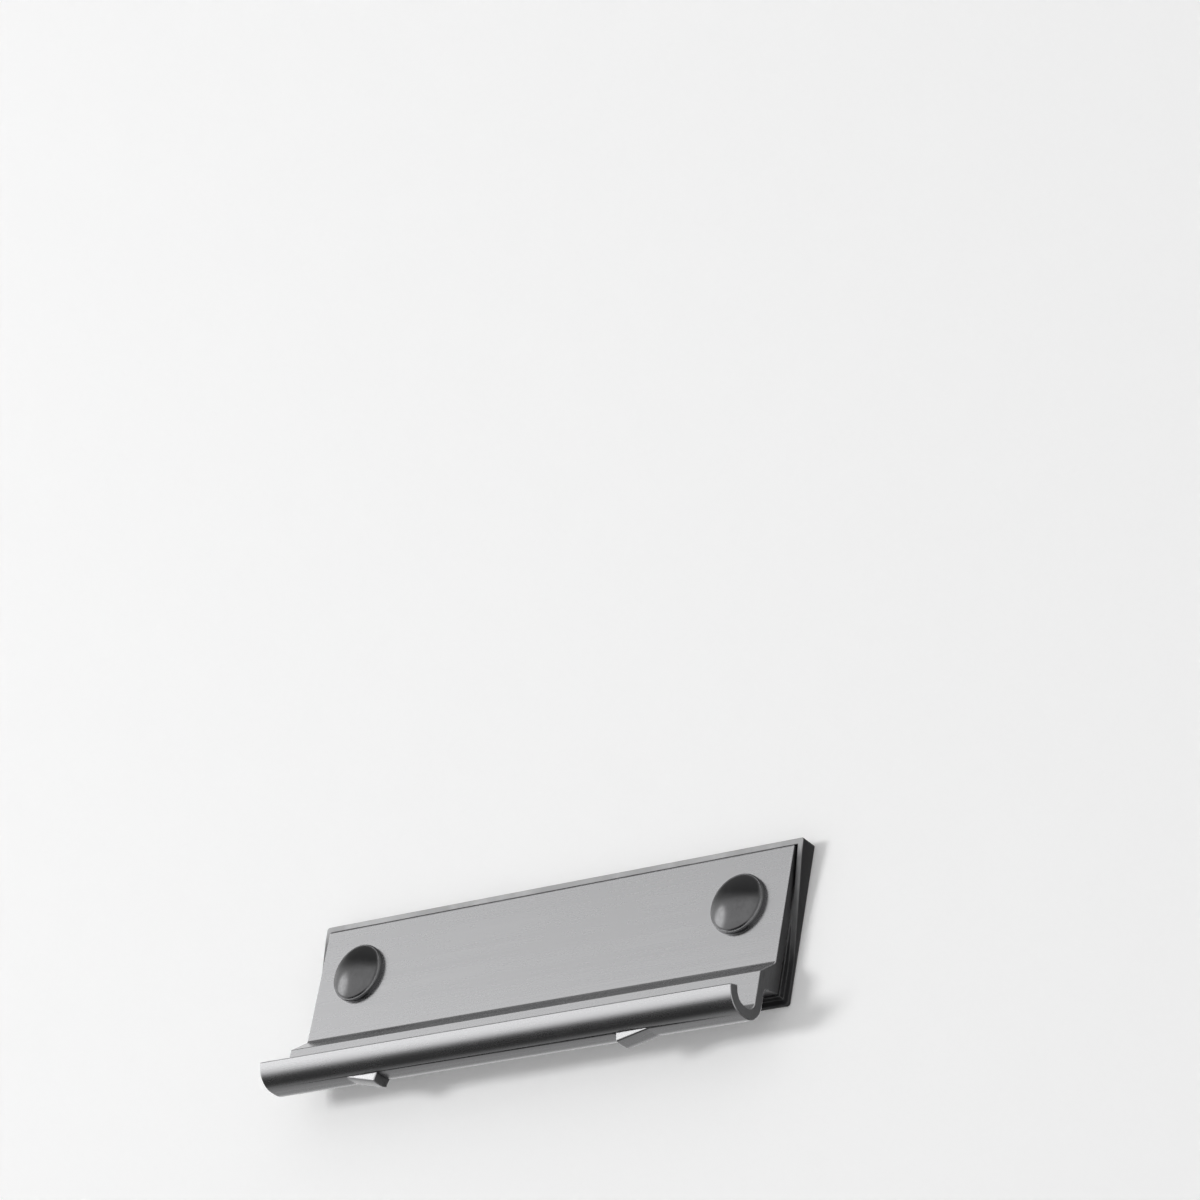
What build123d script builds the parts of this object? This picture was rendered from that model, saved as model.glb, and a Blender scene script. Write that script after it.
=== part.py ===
from build123d import *
from math import asin, cos, degrees, radians, sin, tan
import os

# Artificial rain gutter: a short channel that bolts to the side of a high roof, so that a roof rack made for gutters
# can clamp to it. Millimetres. The origin is on the roof's wall, midway between the two bolts. X runs along the
# gutter, the wall is the plane Y = 0, outward is -Y and up is +Z.

# Sizes of the profile
bracket_length = 157.0
wall_thickness = 3.0
plate_height = 40.0
bolts_below_top = 14.5
step_out = 5.3  # from the plate's front to the channel's inner face
channel_width = 6.2  # at the floor
channel_drop = 8.0  # from the plate's lower edge down to the channel's floor
lip_height = 3.9  # from the channel's floor to the top of the lip
lip_lean = 16.0  # degrees outward from upright
foot_height = 3.0  # at the channel's inner face
foot_slope = 40.0  # degrees below level, on top of the foot
underside_slope = 9.0  # degrees below level, under the foot
foot_fillet = 1.2
edge_radius = 0.4
wall_side_radius = 2.2  # inside the channel, where the floor meets the inner wall
lip_side_radius = 3.5
wall_side_outer_radius = 5.2
lip_side_outer_radius = 6.5

# Sizes of the stops in the channel's floor
stop_root = 50.0  # from the middle of the bracket
stop_length = 10.5
stop_width = 5.3
stop_drop = 2.3

# Sizes of the gasket
pad_thickness = 2.7
pad_border = 2.2  # from the plate's edge to the gasket's edge
gasket_corner = 0.8
flange_thickness = 1.1
rim_height = 4.9  # from the wall to the front of the rim
rim_run = 31.0  # from the plate's top down to where the rim ends in the flange
rim_gap = 0.45  # round the plate, and the pad reaches that far out
rim_rounding = 0.35
pad_hole_diameter = 9.6

# Sizes of the bolts and of what holds them
bolt_spacing = 128.0
bolt_length = 20.0
shank_diameter = 6.0
tip_chamfer = 0.6
head_diameter = 16.5
head_rim = 0.9
head_dome = 2.5
neck_width = 6.2
neck_depth = 3.6
neck_corner = 0.8
neck_gap = 0.15
wall_grip = 5.0  # room for the roof's wall
washer_diameter = 18.0
washer_hole_diameter = 6.4
washer_thickness = 1.6
nut_flats = 10.0
nut_height = 4.4
nut_chamfer = 0.7
collar_diameter = 9.0
collar_height = 1.8
insert_diameter = 7.8
insert_height = 1.5
thread_gap = 0.05

# Levels that the pieces share
plate_back = -pad_thickness
plate_front = plate_back - wall_thickness
plate_top = bolts_below_top
plate_bottom = plate_top - plate_height
nut_seat = wall_grip + washer_thickness
nut_end = nut_seat + nut_height + collar_height

# The profile's outline, each corner with its radius: down the front of the plate, over the foot, round the channel
# and its lip, and up the back
channel_face = plate_front - step_out
inner_wall_back = channel_face + wall_thickness
foot_edge = plate_bottom + foot_height
foot_start = foot_edge + step_out * tan(radians(foot_slope))
underside_end = plate_bottom - (plate_back - inner_wall_back) * tan(radians(underside_slope))
floor_top = plate_bottom - channel_drop
floor_bottom = floor_top - wall_thickness
lean = radians(lip_lean)
lip_inner = channel_face - channel_width
lip_inner_top = lip_inner - lip_height * tan(lean)
lip_outer = lip_inner - wall_thickness / cos(lean) + wall_thickness * tan(lean)
lip_top = floor_top + lip_height
outline = [
    ((plate_back, plate_top), edge_radius),
    ((plate_front, plate_top), edge_radius),
    ((plate_front, foot_start), foot_fillet),
    ((channel_face, foot_edge), edge_radius),
    ((channel_face, floor_top), wall_side_radius),
    ((lip_inner, floor_top), lip_side_radius),
    ((lip_inner_top, lip_top), edge_radius),
    ((lip_inner_top - wall_thickness * cos(lean), lip_top - wall_thickness * sin(lean)), edge_radius),
    ((lip_outer, floor_bottom), lip_side_outer_radius),
    ((inner_wall_back, floor_bottom), wall_side_outer_radius),
    ((inner_wall_back, underside_end), foot_fillet),
    ((plate_back, plate_bottom), edge_radius),
]

# Gutter bracket: one length of profile with square holes for the bolts' necks
with BuildPart() as plain_bracket:
    with BuildSketch(Plane.YZ):
        with BuildLine():
            FilletPolyline(*[point for point, _ in outline], radius=[size for _, size in outline], close=True)
        make_face()
    extrude(amount=bracket_length / 2, both=True)
    with BuildSketch(Plane.XZ.offset(-plate_front)):
        with Locations((-bolt_spacing / 2, 0), (bolt_spacing / 2, 0)):
            RectangleRounded(neck_width + 2 * neck_gap, neck_width + 2 * neck_gap, neck_corner + neck_gap)
    extrude(amount=-wall_thickness, mode=Mode.SUBTRACT)

# Each stop is a strip of the floor, sheared along three sides and bent down at its root, free end to the middle
stop_angle = degrees(asin(stop_drop / stop_length))
stop_middle = channel_face - stop_width / 2

with BuildPart() as gutter_bracket:
    add(plain_bracket.part)
    for side in (-1, 1):
        window = Pos(side * (stop_root - stop_length / 2), stop_middle, (floor_top + floor_bottom) / 2) * Box(
            stop_length, stop_width, 2 * wall_thickness, mode=Mode.PRIVATE
        )
        strip = plain_bracket.part & window
        root = Axis((side * stop_root, 0, floor_top), (0, side, 0))
        add(window, mode=Mode.SUBTRACT)
        add(strip.rotate(root, -stop_angle))
gutter_bracket.part.label = "gutter_bracket"

# Rubber gasket: a pad under the plate with a thin flange round it. The flange rises into a rim that stands along the
# plate's top and slopes away down its sides.
gasket_size = (bracket_length + 2 * pad_border, plate_height + 2 * pad_border)
pad_size = (bracket_length + 2 * rim_gap, plate_height + 2 * rim_gap)
gasket_middle = (0, plate_top - plate_height / 2)

with BuildPart() as rubber_gasket:
    with BuildSketch(Plane.XZ):
        with Locations(gasket_middle):
            RectangleRounded(*gasket_size, gasket_corner)
            Rectangle(*pad_size, mode=Mode.SUBTRACT)
    extrude(amount=rim_height)
    with BuildSketch(Plane.YZ):
        Polygon(
            (-rim_height, plate_top),
            (-flange_thickness, plate_top - rim_run),
            (-flange_thickness, plate_bottom - 2 * pad_border),
            (-2 * rim_height, plate_bottom - 2 * pad_border),
            (-2 * rim_height, plate_top),
            align=None,
        )
    extrude(amount=bracket_length, both=True, mode=Mode.SUBTRACT)
    rim_front = rubber_gasket.faces().filter_by(lambda face: face.normal_at().Y < -0.9).sort_by(Axis.Z)[-1]
    fillet(rim_front.edges().sort_by(Axis.Z)[-1], rim_rounding)
    with BuildSketch(Plane.XZ):
        with Locations(gasket_middle):
            Rectangle(*pad_size)
    extrude(amount=pad_thickness)
    with BuildSketch(Plane.XZ):
        with Locations((-bolt_spacing / 2, 0), (bolt_spacing / 2, 0)):
            Circle(pad_hole_diameter / 2)
    extrude(amount=pad_thickness, mode=Mode.SUBTRACT)
rubber_gasket.part.label = "rubber_gasket"

# Carriage bolt: a shallow dome on a thin rim, a plain shank and a square neck that keeps it from turning
dome_base = plate_front - head_rim
dome_top = dome_base - head_dome
dome_radius = ((head_diameter / 2) ** 2 + head_dome**2) / (2 * head_dome)
bolt_tip = plate_front + bolt_length

with BuildPart() as one_bolt:
    with BuildSketch(Plane.XY):
        with BuildLine():
            RadiusArc((0, dome_top), (head_diameter / 2, dome_base), -dome_radius)
            Polyline(
                (head_diameter / 2, dome_base),
                (head_diameter / 2, plate_front),
                (shank_diameter / 2, plate_front),
                (shank_diameter / 2, bolt_tip - tip_chamfer),
                (shank_diameter / 2 - tip_chamfer, bolt_tip),
                (0, bolt_tip),
                (0, dome_top),
            )
        make_face()
    revolve(axis=Axis.Y)
    with BuildSketch(Plane.XZ.offset(-plate_front)):
        RectangleRounded(neck_width, neck_width, neck_corner)
    extrude(amount=-neck_depth)

with BuildPart() as carriage_bolts:
    with Locations((-bolt_spacing / 2, 0, 0), (bolt_spacing / 2, 0, 0)):
        add(one_bolt.part)
carriage_bolts.part.label = "carriage_bolts"

# Washers behind the roof's wall
with BuildPart() as washers:
    with BuildSketch(Plane.XZ.offset(-wall_grip)):
        with Locations((-bolt_spacing / 2, 0), (bolt_spacing / 2, 0)):
            Circle(washer_diameter / 2)
            Circle(washer_hole_diameter / 2, mode=Mode.SUBTRACT)
    extrude(amount=-washer_thickness)
washers.part.label = "washers"

# Lock nut: a hexagon chamfered on its seat, and a round collar with a pocket for the nylon ring
nut_bore_radius = shank_diameter / 2 + thread_gap

with BuildPart() as one_nut:
    with BuildSketch(Plane.XZ.offset(-nut_seat)):
        RegularPolygon(nut_flats / 2, 6, major_radius=False)
    extrude(amount=-nut_height)
    with BuildSketch(Plane.XY):
        Polygon(
            (0, nut_seat),
            (nut_flats / 2 - nut_chamfer / 4, nut_seat),
            (nut_flats / 2 + nut_chamfer, nut_seat + nut_chamfer),
            (nut_flats / 2 + nut_chamfer, nut_seat + nut_height - nut_chamfer),
            (nut_flats / 2 - nut_chamfer / 4, nut_seat + nut_height),
            (0, nut_seat + nut_height),
            align=None,
        )
    revolve(axis=Axis.Y, mode=Mode.INTERSECT)
    with BuildSketch(Plane.XZ.offset(-nut_seat - nut_height)):
        Circle(collar_diameter / 2)
    extrude(amount=-collar_height)
    with BuildSketch(Plane.XZ.offset(-nut_end)):
        Circle(insert_diameter / 2)
    extrude(amount=insert_height, mode=Mode.SUBTRACT)
    with BuildSketch(Plane.XZ.offset(-nut_end)):
        Circle(nut_bore_radius)
    extrude(amount=nut_end - nut_seat, mode=Mode.SUBTRACT)

with BuildPart() as lock_nuts:
    with Locations((-bolt_spacing / 2, 0, 0), (bolt_spacing / 2, 0, 0)):
        add(one_nut.part)
lock_nuts.part.label = "lock_nuts"

# Nylon rings in the nuts' collars
with BuildPart() as nut_inserts:
    with BuildSketch(Plane.XZ.offset(-nut_end)):
        with Locations((-bolt_spacing / 2, 0), (bolt_spacing / 2, 0)):
            Circle(insert_diameter / 2)
            Circle(nut_bore_radius, mode=Mode.SUBTRACT)
    extrude(amount=insert_height)
nut_inserts.part.label = "nut_inserts"

os.makedirs("parts", exist_ok=True)
for piece in (gutter_bracket, rubber_gasket, carriage_bolts, washers, lock_nuts, nut_inserts):
    export_step(piece.part, f"parts/{piece.part.label}.step")
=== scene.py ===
# %% [markdown]
# # Artificial rain gutter
# A short aluminium gutter on a plate that is bolted to an upright wall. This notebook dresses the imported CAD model:
# it builds finer meshes for the profile, the gasket and the fasteners, gives each its finish, and sets a plain
# studio round it. The frame comes first, because each mesh takes the place of one of its nodes, and the dressed part
# has to stay inside the box of its solids.

# %% Load the frame
import math

import bmesh
import bpy
from mathutils import Matrix, Vector


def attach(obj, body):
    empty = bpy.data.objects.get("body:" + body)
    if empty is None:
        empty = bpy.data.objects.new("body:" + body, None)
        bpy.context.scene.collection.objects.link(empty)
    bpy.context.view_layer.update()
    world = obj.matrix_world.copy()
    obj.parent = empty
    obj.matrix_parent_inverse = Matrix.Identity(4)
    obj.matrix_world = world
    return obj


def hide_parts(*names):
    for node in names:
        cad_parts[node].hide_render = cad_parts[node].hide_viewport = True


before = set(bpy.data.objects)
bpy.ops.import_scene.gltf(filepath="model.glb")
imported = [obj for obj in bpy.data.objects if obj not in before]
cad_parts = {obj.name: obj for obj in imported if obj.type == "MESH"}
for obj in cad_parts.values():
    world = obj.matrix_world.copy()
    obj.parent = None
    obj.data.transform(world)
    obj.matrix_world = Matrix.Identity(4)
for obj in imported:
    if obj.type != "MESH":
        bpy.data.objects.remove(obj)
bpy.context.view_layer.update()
MM = 0.001  # one millimetre in metres
print("nodes:", sorted(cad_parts))

# %% [markdown]
# ## The camera
# The photograph looks up at the gutter from below and from its near end. The camera could be aimed at the middle of
# the object, but the photograph has the gutter in the lower half of the picture, so the place, the direction and the
# roll are set as three angles and a point instead, and the lens keeps the photograph's long perspective.

# %% Camera
view_azimuth, view_elevation, view_roll = (math.radians(angle) for angle in (43.416, -28.003, 10.484))
camera_place = Vector((737.35, -787.32, -470.31)) * MM

back = Vector((
    math.sin(view_azimuth) * math.cos(view_elevation),
    -math.cos(view_azimuth) * math.cos(view_elevation),
    math.sin(view_elevation),
))
level_right = Vector((0, 0, 1)).cross(back).normalized()
level_up = back.cross(level_right)
right = math.cos(view_roll) * level_right + math.sin(view_roll) * level_up
up = back.cross(right)

camera_data = bpy.data.cameras.new("camera")
camera_data.sensor_width, camera_data.lens = 36.0, 135.8
camera = bpy.data.objects.new("camera", camera_data)
bpy.context.scene.collection.objects.link(camera)
camera.matrix_world = Matrix.Translation(camera_place) @ Matrix((right, up, back)).transposed().to_4x4()
bpy.context.scene.camera = camera
print("camera looks along", tuple(round(c, 3) for c in -back))

# %% [markdown]
# ## Adding and joining shader nodes
# Each material below is a tree of nodes. One helper adds a node and sets its plain values, and another joins two
# sockets, so that the cells that follow read as a list of what the finish is made of.

# %% Helpers that add and join nodes
def add_node(tree, kind, place=(0, 0), **values):
    """Adds a shader node. A value whose name is a socket is set there, and any other on the node itself."""
    node = tree.nodes.new("ShaderNode" + kind)
    node.location = place
    for name, value in values.items():
        socket = name.replace("_", " ").title()
        if socket in node.inputs:
            node.inputs[socket].default_value = value
        else:
            setattr(node, name, value)
    return node


def join(tree, source, output, target, socket):
    """Links an output of one node to an input of another. Both are given by name or number."""
    tree.links.new(source.outputs[output], target.inputs[socket])

# %% [markdown]
# ## Nodes for numbers and colours
# Every finish bends a noise into a mask and mixes two colours by it. Here a pair of a node and its output stands for
# a link, so a call can take a link or a plain number in the same place.

# %% Helpers for numbers and colours
COLOUR = 2  # the place of the colour output on a Mix node


def grey(tone, blue=0.0):
    """A grey as a colour with alpha. Metals take a touch of blue."""
    return (tone, tone, tone + blue, 1)


def math_node(tree, operation, first, second=None, place=(0, 0), clamp=False):
    """A Math node. Each operand is a number or a pair of a node and its output."""
    node = add_node(tree, "Math", place, operation=operation, use_clamp=clamp)
    for index, operand in enumerate((first, second)):
        if isinstance(operand, tuple):
            join(tree, *operand, node, index)
        elif operand is not None:
            node.inputs[index].default_value = operand
    return node


def rescale(tree, source, reads, gives=(0.0, 1.0), place=(0, 0), smooth=True):
    """A Map Range node that clamps. The source is a pair of a node and its output."""
    node = add_node(tree, "MapRange", place)
    node.interpolation_type = "SMOOTHSTEP" if smooth else "LINEAR"
    join(tree, *source, node, "Value")
    for name, value in zip(("From Min", "From Max", "To Min", "To Max"), (*reads, *gives)):
        node.inputs[name].default_value = value
    return node


def mix_colours(tree, factor, first, second, place=(0, 0)):
    """Mixes two colours. The factor and the colours are plain values or pairs of a node and its output."""
    node = add_node(tree, "Mix", place, data_type="RGBA", blend_type="MIX")
    sockets = [node.inputs["Factor"]] + [s for s in node.inputs if s.type == "RGBA"]
    for socket, value in zip(sockets, (factor, first, second)):
        if isinstance(value, tuple) and isinstance(value[0], bpy.types.Node):
            tree.links.new(value[0].outputs[value[1]], socket)
        else:
            socket.default_value = value
    return node


def tone_ramp(tree, source, stops, place=(0, 0)):
    """A Color Ramp of greys. The source is a pair of a node and its output, and a stop is (position, tone)."""
    node = add_node(tree, "ValToRGB", place)
    elements = node.color_ramp.elements
    for element, (position, tone) in zip(elements, (stops[0], stops[-1])):
        element.position, element.color = position, grey(tone)
    for position, tone in stops[1:-1]:
        elements.new(position).color = grey(tone)
    join(tree, *source, node, "Fac")
    return node

# %% [markdown]
# ## Node groups
# Lines, rubbed edges with their painted highlights, and grain show on more than one material. They could be copied
# from tree to tree, but a group is built once, and each material places it with its own values.

# %% Helpers for node groups
def new_group(name, inputs, outputs):
    """A shader node group with float outputs. An input is a float with a value, or a vector with None."""
    group = bpy.data.node_groups.new(name, "ShaderNodeTree")
    for label, value in inputs.items():
        kind = "NodeSocketVector" if value is None else "NodeSocketFloat"
        socket = group.interface.new_socket(label, in_out="INPUT", socket_type=kind)
        if value is not None:
            socket.default_value = value
    for label in outputs:
        group.interface.new_socket(label, in_out="OUTPUT", socket_type="NodeSocketFloat")
    return group, group.nodes.new("NodeGroupInput"), group.nodes.new("NodeGroupOutput")


def place_group(tree, group, vector, place=(0, 0), **values):
    """Puts a node group in a material. The vector is a pair of a node and its output."""
    node = add_node(tree, "Group", place, node_tree=group)
    for name, value in values.items():
        node.inputs[name.replace("_", " ")].default_value = value
    join(tree, *vector, node, "Vector")
    return node

# %% [markdown]
# ## Lines along a drawn or extruded surface
# Aluminium that is pushed through a die keeps fine lines along its length. They could be a picture, but a noise
# whose space is squeezed along one axis gives endless lines at the right scale on every face, whatever its turn.
# The group takes the squeeze as a vector, so the same group also draws a saw's marks and a lathe's.

# %% Node group: drawn lines
coarse_scale = 0.22  # of the fine lines' scale

lines_group, lines_in, lines_out = new_group(
    "drawn_lines", {"Vector": None, "Squeeze": None, "Streak share": 0.5}, ["Lines", "Streaks"]
)
squeezed = add_node(lines_group, "VectorMath", (-400, 0), operation="MULTIPLY")
join(lines_group, lines_in, "Vector", squeezed, 0)
join(lines_group, lines_in, "Squeeze", squeezed, 1)
fine = add_node(lines_group, "TexNoise", (-200, 100), Scale=1.0, Detail=2.0, Roughness=0.6)
join(lines_group, squeezed, 0, fine, "Vector")
coarse = add_node(lines_group, "TexNoise", (-200, -100), Scale=coarse_scale, Detail=2.0, Roughness=0.5)
join(lines_group, squeezed, 0, coarse, "Vector")
fine_range = rescale(lines_group, (fine, 0), (0.3, 0.7), place=(0, 100))
coarse_range = rescale(lines_group, (coarse, 0), (0.35, 0.65), place=(0, -100))
streaks = math_node(lines_group, "MULTIPLY", (coarse_range, 0), (lines_in, "Streak share"), (200, -100))
lines_sum = math_node(lines_group, "ADD", (fine_range, 0), (streaks, 0), (350, 0))
lines_half = math_node(lines_group, "MULTIPLY", (lines_sum, 0), 0.5, (500, 0))
join(lines_group, lines_half, 0, lines_out, "Lines")
join(lines_group, coarse_range, 0, lines_out, "Streaks")
print("drawn_lines:", len(lines_group.nodes), "nodes")

# %% [markdown]
# ## Rubbed edges and painted edge highlights
# Handling rounds and brightens the outermost edges first, and a rounded edge catches a thin highlight: this group
# paints both into the colour as one brighter edge. Painting that by hand would not follow a change of shape.
# Cycles has a Bevel node that gives the normal which a small rounding would have: where it differs from the true
# normal there is an edge, and a noise breaks the edge up so that it looks rubbed and not outlined.

# %% Node group: rubbed edges and painted highlights
same_normal, turned_normal = 0.995, 0.88  # the two normals' dot product on a flat face and on a full edge

edge_group, edge_in, edge_out = new_group(
    "worn_and_highlit_edges", {"Vector": None, "Radius": 0.0004, "Breakup": 900.0}, ["Edge"]
)
soft_normal = add_node(edge_group, "Bevel", (-400, 0), samples=4)
join(edge_group, edge_in, "Radius", soft_normal, "Radius")
true_normal = add_node(edge_group, "NewGeometry", (-400, -150))
turned = add_node(edge_group, "VectorMath", (-200, 0), operation="DOT_PRODUCT")
join(edge_group, soft_normal, "Normal", turned, 0)
join(edge_group, true_normal, "Normal", turned, 1)
edge_range = rescale(edge_group, (turned, "Value"), (same_normal, turned_normal))
edge_noise = add_node(edge_group, "TexNoise", (-200, -300), Detail=3.0)
join(edge_group, edge_in, "Vector", edge_noise, "Vector")
join(edge_group, edge_in, "Breakup", edge_noise, "Scale")
edge_break = rescale(edge_group, (edge_noise, 0), (0.38, 0.6), (0.55, 1.0), (0, -300))
edge_mask = math_node(edge_group, "MULTIPLY", (edge_range, 0), (edge_break, 0), (200, 0))
join(edge_group, edge_mask, 0, edge_out, "Edge")
print("worn_and_highlit_edges:", len(edge_group.nodes), "nodes")

# %% [markdown]
# ## Grain and bloom
# Moulded rubber and nylon have a fine, even grain from the mould, and a faint patchy bloom where the surface has
# dulled. Both come from noise at two scales: the first feeds the bump, the second the colour and the roughness.

# %% Node group: moulded grain
grain_group, grain_in, grain_out = new_group(
    "moulded_grain", {"Vector": None, "Grain scale": 5200.0, "Patch scale": 90.0}, ["Grain", "Patches"]
)
grain_noise = add_node(grain_group, "TexNoise", (-200, 100), Detail=2.0, Roughness=0.6)
join(grain_group, grain_in, "Vector", grain_noise, "Vector")
join(grain_group, grain_in, "Grain scale", grain_noise, "Scale")
patch_noise = add_node(grain_group, "TexNoise", (-200, -100), Detail=5.0, Roughness=0.6, Distortion=0.4)
join(grain_group, grain_in, "Vector", patch_noise, "Vector")
join(grain_group, grain_in, "Patch scale", patch_noise, "Scale")
patches = rescale(grain_group, (patch_noise, 0), (0.35, 0.7), place=(0, -100))
join(grain_group, grain_noise, 0, grain_out, "Grain")
join(grain_group, patches, 0, grain_out, "Patches")
print("moulded_grain:", len(grain_group.nodes), "nodes")

# %% [markdown]
# ## What every material needs
# A material starts from its tree and its Principled shader, reads its noises in the object's own coordinates, so that
# they stay on the part when it turns, and ends with a bump that feeds the shader's normal. Rubber and nylon share
# more than that: the mould's grain is their bump, and the bloomed patches are a little duller than the rest.

# %% Helpers for materials
def new_material(name):
    """A material with its tree and its Principled BSDF."""
    material = bpy.data.materials.new(name)
    material.use_nodes = True
    return material, material.node_tree, material.node_tree.nodes["Principled BSDF"]


def object_coordinates(tree):
    """The object's own coordinates, as a pair of a node and its output."""
    return add_node(tree, "TexCoord", (-1100, 0)), "Object"


def bump_from(tree, shader, height, strength, distance):
    """Feeds the shader's normal from a height, which is a pair of a node and its output."""
    bump = add_node(tree, "Bump", (-240, -200), Strength=strength, Distance=distance)
    join(tree, *height, bump, "Height")
    join(tree, bump, "Normal", shader, "Normal")


def moulded_surface(tree, shader, grain, colour, roughness, strength, distance):
    """Joins a moulded material's colour, gloss and grain to its shader."""
    join(tree, colour, COLOUR, shader, "Base Color")
    gloss = rescale(tree, (grain, "Patches"), (0.0, 1.0), roughness, (-400, 50))
    join(tree, gloss, 0, shader, "Roughness")
    bump_from(tree, shader, (grain, "Grain"), strength, distance)

# %% [markdown]
# ## The profile's aluminium
# The bracket is a satin extrusion: bright, slightly grey, with its lines along X. The lines turn the roughness up and
# down a little and feed a very low bump, so that a highlight breaks up along the part as it does on the real one.
# Faint clouds from handling dull it in places.

# %% Material: extruded aluminium
streak_share, line_bump = 0.8, 0.35
wear_and_highlight_radius, wear_and_highlight_breakup = 0.0006, 350.0  # metres, and patches per metre
cloud_scale, cloud_tone, cloud_roughness = 55.0, 0.96, 0.03


def metal_with_lines(name, colour, darker, squeeze, roughness, bump_distance, edge_wear_and_highlight_colour, edge_wear_and_highlight_share):
    """A metal with rubbed edges that carry a painted highlight, whose fine lines lie across the axes that the squeeze
    makes large.
    """
    material, tree, shader = new_material(name)
    where = object_coordinates(tree)
    lines = place_group(tree, lines_group, where, (-850, 100), Squeeze=squeeze, Streak_share=streak_share)
    edges = place_group(tree, edge_group, where, (-850, -200), Radius=wear_and_highlight_radius, Breakup=wear_and_highlight_breakup)
    marks = add_node(tree, "TexNoise", (-850, -450), Scale=cloud_scale, Detail=6.0, Roughness=0.7)
    join(tree, *where, marks, "Vector")
    clouds = rescale(tree, (marks, 0), (0.42, 0.66), place=(-650, -450))
    tone = mix_colours(tree, (lines, "Lines"), darker, colour, (-600, 200))
    cloud_colour = tuple(cloud_tone * part for part in colour[:3]) + (1,)
    dulled = mix_colours(tree, (clouds, 0), (tone, COLOUR), cloud_colour, (-420, 200))
    # Brighter edges: partly wear, partly a painted highlight.
    wear_and_highlight = math_node(tree, "MULTIPLY", (edges, "Edge"), edge_wear_and_highlight_share, (-600, -200))
    final = mix_colours(tree, (wear_and_highlight, 0), (dulled, COLOUR), edge_wear_and_highlight_colour, (-240, 200))
    join(tree, final, COLOUR, shader, "Base Color")
    glossiest, dullest = roughness
    gloss = rescale(tree, (lines, "Lines"), (0.2, 0.9), (dullest, glossiest), (-600, 0), smooth=False)
    cloudy = math_node(tree, "MULTIPLY_ADD", (clouds, 0), cloud_roughness, (-420, 0))
    join(tree, gloss, 0, cloudy, 2)
    join(tree, cloudy, 0, shader, "Roughness")
    bump_from(tree, shader, (lines, "Lines"), line_bump, bump_distance)
    shader.inputs["Metallic"].default_value = 1.0
    return material


extruded_aluminium = metal_with_lines(
    "extruded_aluminium",
    colour=grey(0.61, 0.01), darker=grey(0.575, 0.01), squeeze=(5, 1200, 1200),
    roughness=(0.24, 0.28), bump_distance=0.000001, edge_wear_and_highlight_colour=grey(0.92, 0.01), edge_wear_and_highlight_share=0.8,
)
print("made", extruded_aluminium.name)

# %% [markdown]
# ## Sawn ends and sheared stops
# The profile is sawn to length, so its two ends are duller and carry a blade's marks, nearly upright. Their colour is
# also darkened as painted shade. The stops are sheared out of the floor, which leaves bright burnished sides. Each is
# the same metal with other lines.

# %% Materials: sawn and sheared faces
# The sawn colour is darker than bare sawn aluminium: the extra darkness is painted shade.
sawn_aluminium_with_painted_shade = metal_with_lines(
    "sawn_aluminium_with_painted_shade",
    colour=grey(0.31, 0.008), darker=grey(0.22, 0.005), squeeze=(900, 3800, 320),
    roughness=(0.34, 0.46), bump_distance=0.00004, edge_wear_and_highlight_colour=grey(0.5, 0.01), edge_wear_and_highlight_share=0.4,
)
sheared_aluminium = metal_with_lines(
    "sheared_aluminium",
    colour=grey(0.95, 0.01), darker=grey(0.86, 0.01), squeeze=(2600, 2600, 180),
    roughness=(0.16, 0.3), bump_distance=0.00003, edge_wear_and_highlight_colour=grey(0.92, 0.01), edge_wear_and_highlight_share=0.6,
)
print("made", sawn_aluminium_with_painted_shade.name, "and", sheared_aluminium.name)

# %% [markdown]
# ## The gasket's rubber
# The gasket is a satin black rubber moulding. Its rim stands up round the plate's top and catches the light there,
# which is painted into its colour as a grey sheen that fades to black down the sides. A mask by height along Z gives
# that painted sheen, and it is kept to the faces that look away from the wall.

# %% Material: moulded rubber
# Painted sheen: between these heights the rim's colour turns grey, standing for the light that it catches.
painted_sheen_low, painted_sheen_high = -0.018, 0.017  # metres above the bolts' axes
painted_sheen_by_height = ((0.05, 0.0), (0.2, 0.15), (0.65, 0.32), (0.84, 0.36), (0.95, 1.0))

rubber, tree, shader = new_material("moulded_rubber")
where = object_coordinates(tree)
grain = place_group(tree, grain_group, where, (-850, 100))
edges = place_group(tree, edge_group, where, (-850, -200), Radius=0.0005, Breakup=500.0)
height = add_node(tree, "SeparateXYZ", (-850, -400))
join(tree, *where, height, 0)
facing = add_node(tree, "NewGeometry", (-850, -550))
facing_parts = add_node(tree, "SeparateXYZ", (-680, -550))
join(tree, facing, "Normal", facing_parts, 0)
outward = math_node(tree, "MULTIPLY", (facing_parts, "Y"), -1.0, (-520, -550))
front_facing = rescale(tree, (outward, 0), (0.6, 0.95), place=(-360, -550))
# The painted sheen grows with height and is kept to faces that look away from the wall.
high = rescale(tree, (height, "Z"), (painted_sheen_low, painted_sheen_high), place=(-680, -400), smooth=False)
painted_sheen_ramp = tone_ramp(tree, (high, 0), painted_sheen_by_height, (-520, -400))
rim_painted_sheen = math_node(tree, "MULTIPLY", (painted_sheen_ramp, 0), (front_facing, 0), (-360, -400))
patchy = math_node(tree, "MULTIPLY_ADD", (grain, "Patches"), 0.25, (-520, -250))
patchy.inputs[2].default_value = 0.75
painted_sheen_mask = math_node(tree, "MULTIPLY", (rim_painted_sheen, 0), (patchy, 0), (-200, -400), clamp=True)
plain = mix_colours(tree, (grain, "Patches"), grey(0.011, 0.001), grey(0.02, 0.001), (-600, 250))
with_painted_sheen = mix_colours(tree, (painted_sheen_mask, 0), (plain, COLOUR), grey(0.56, 0.005), (-400, 250))
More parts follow.
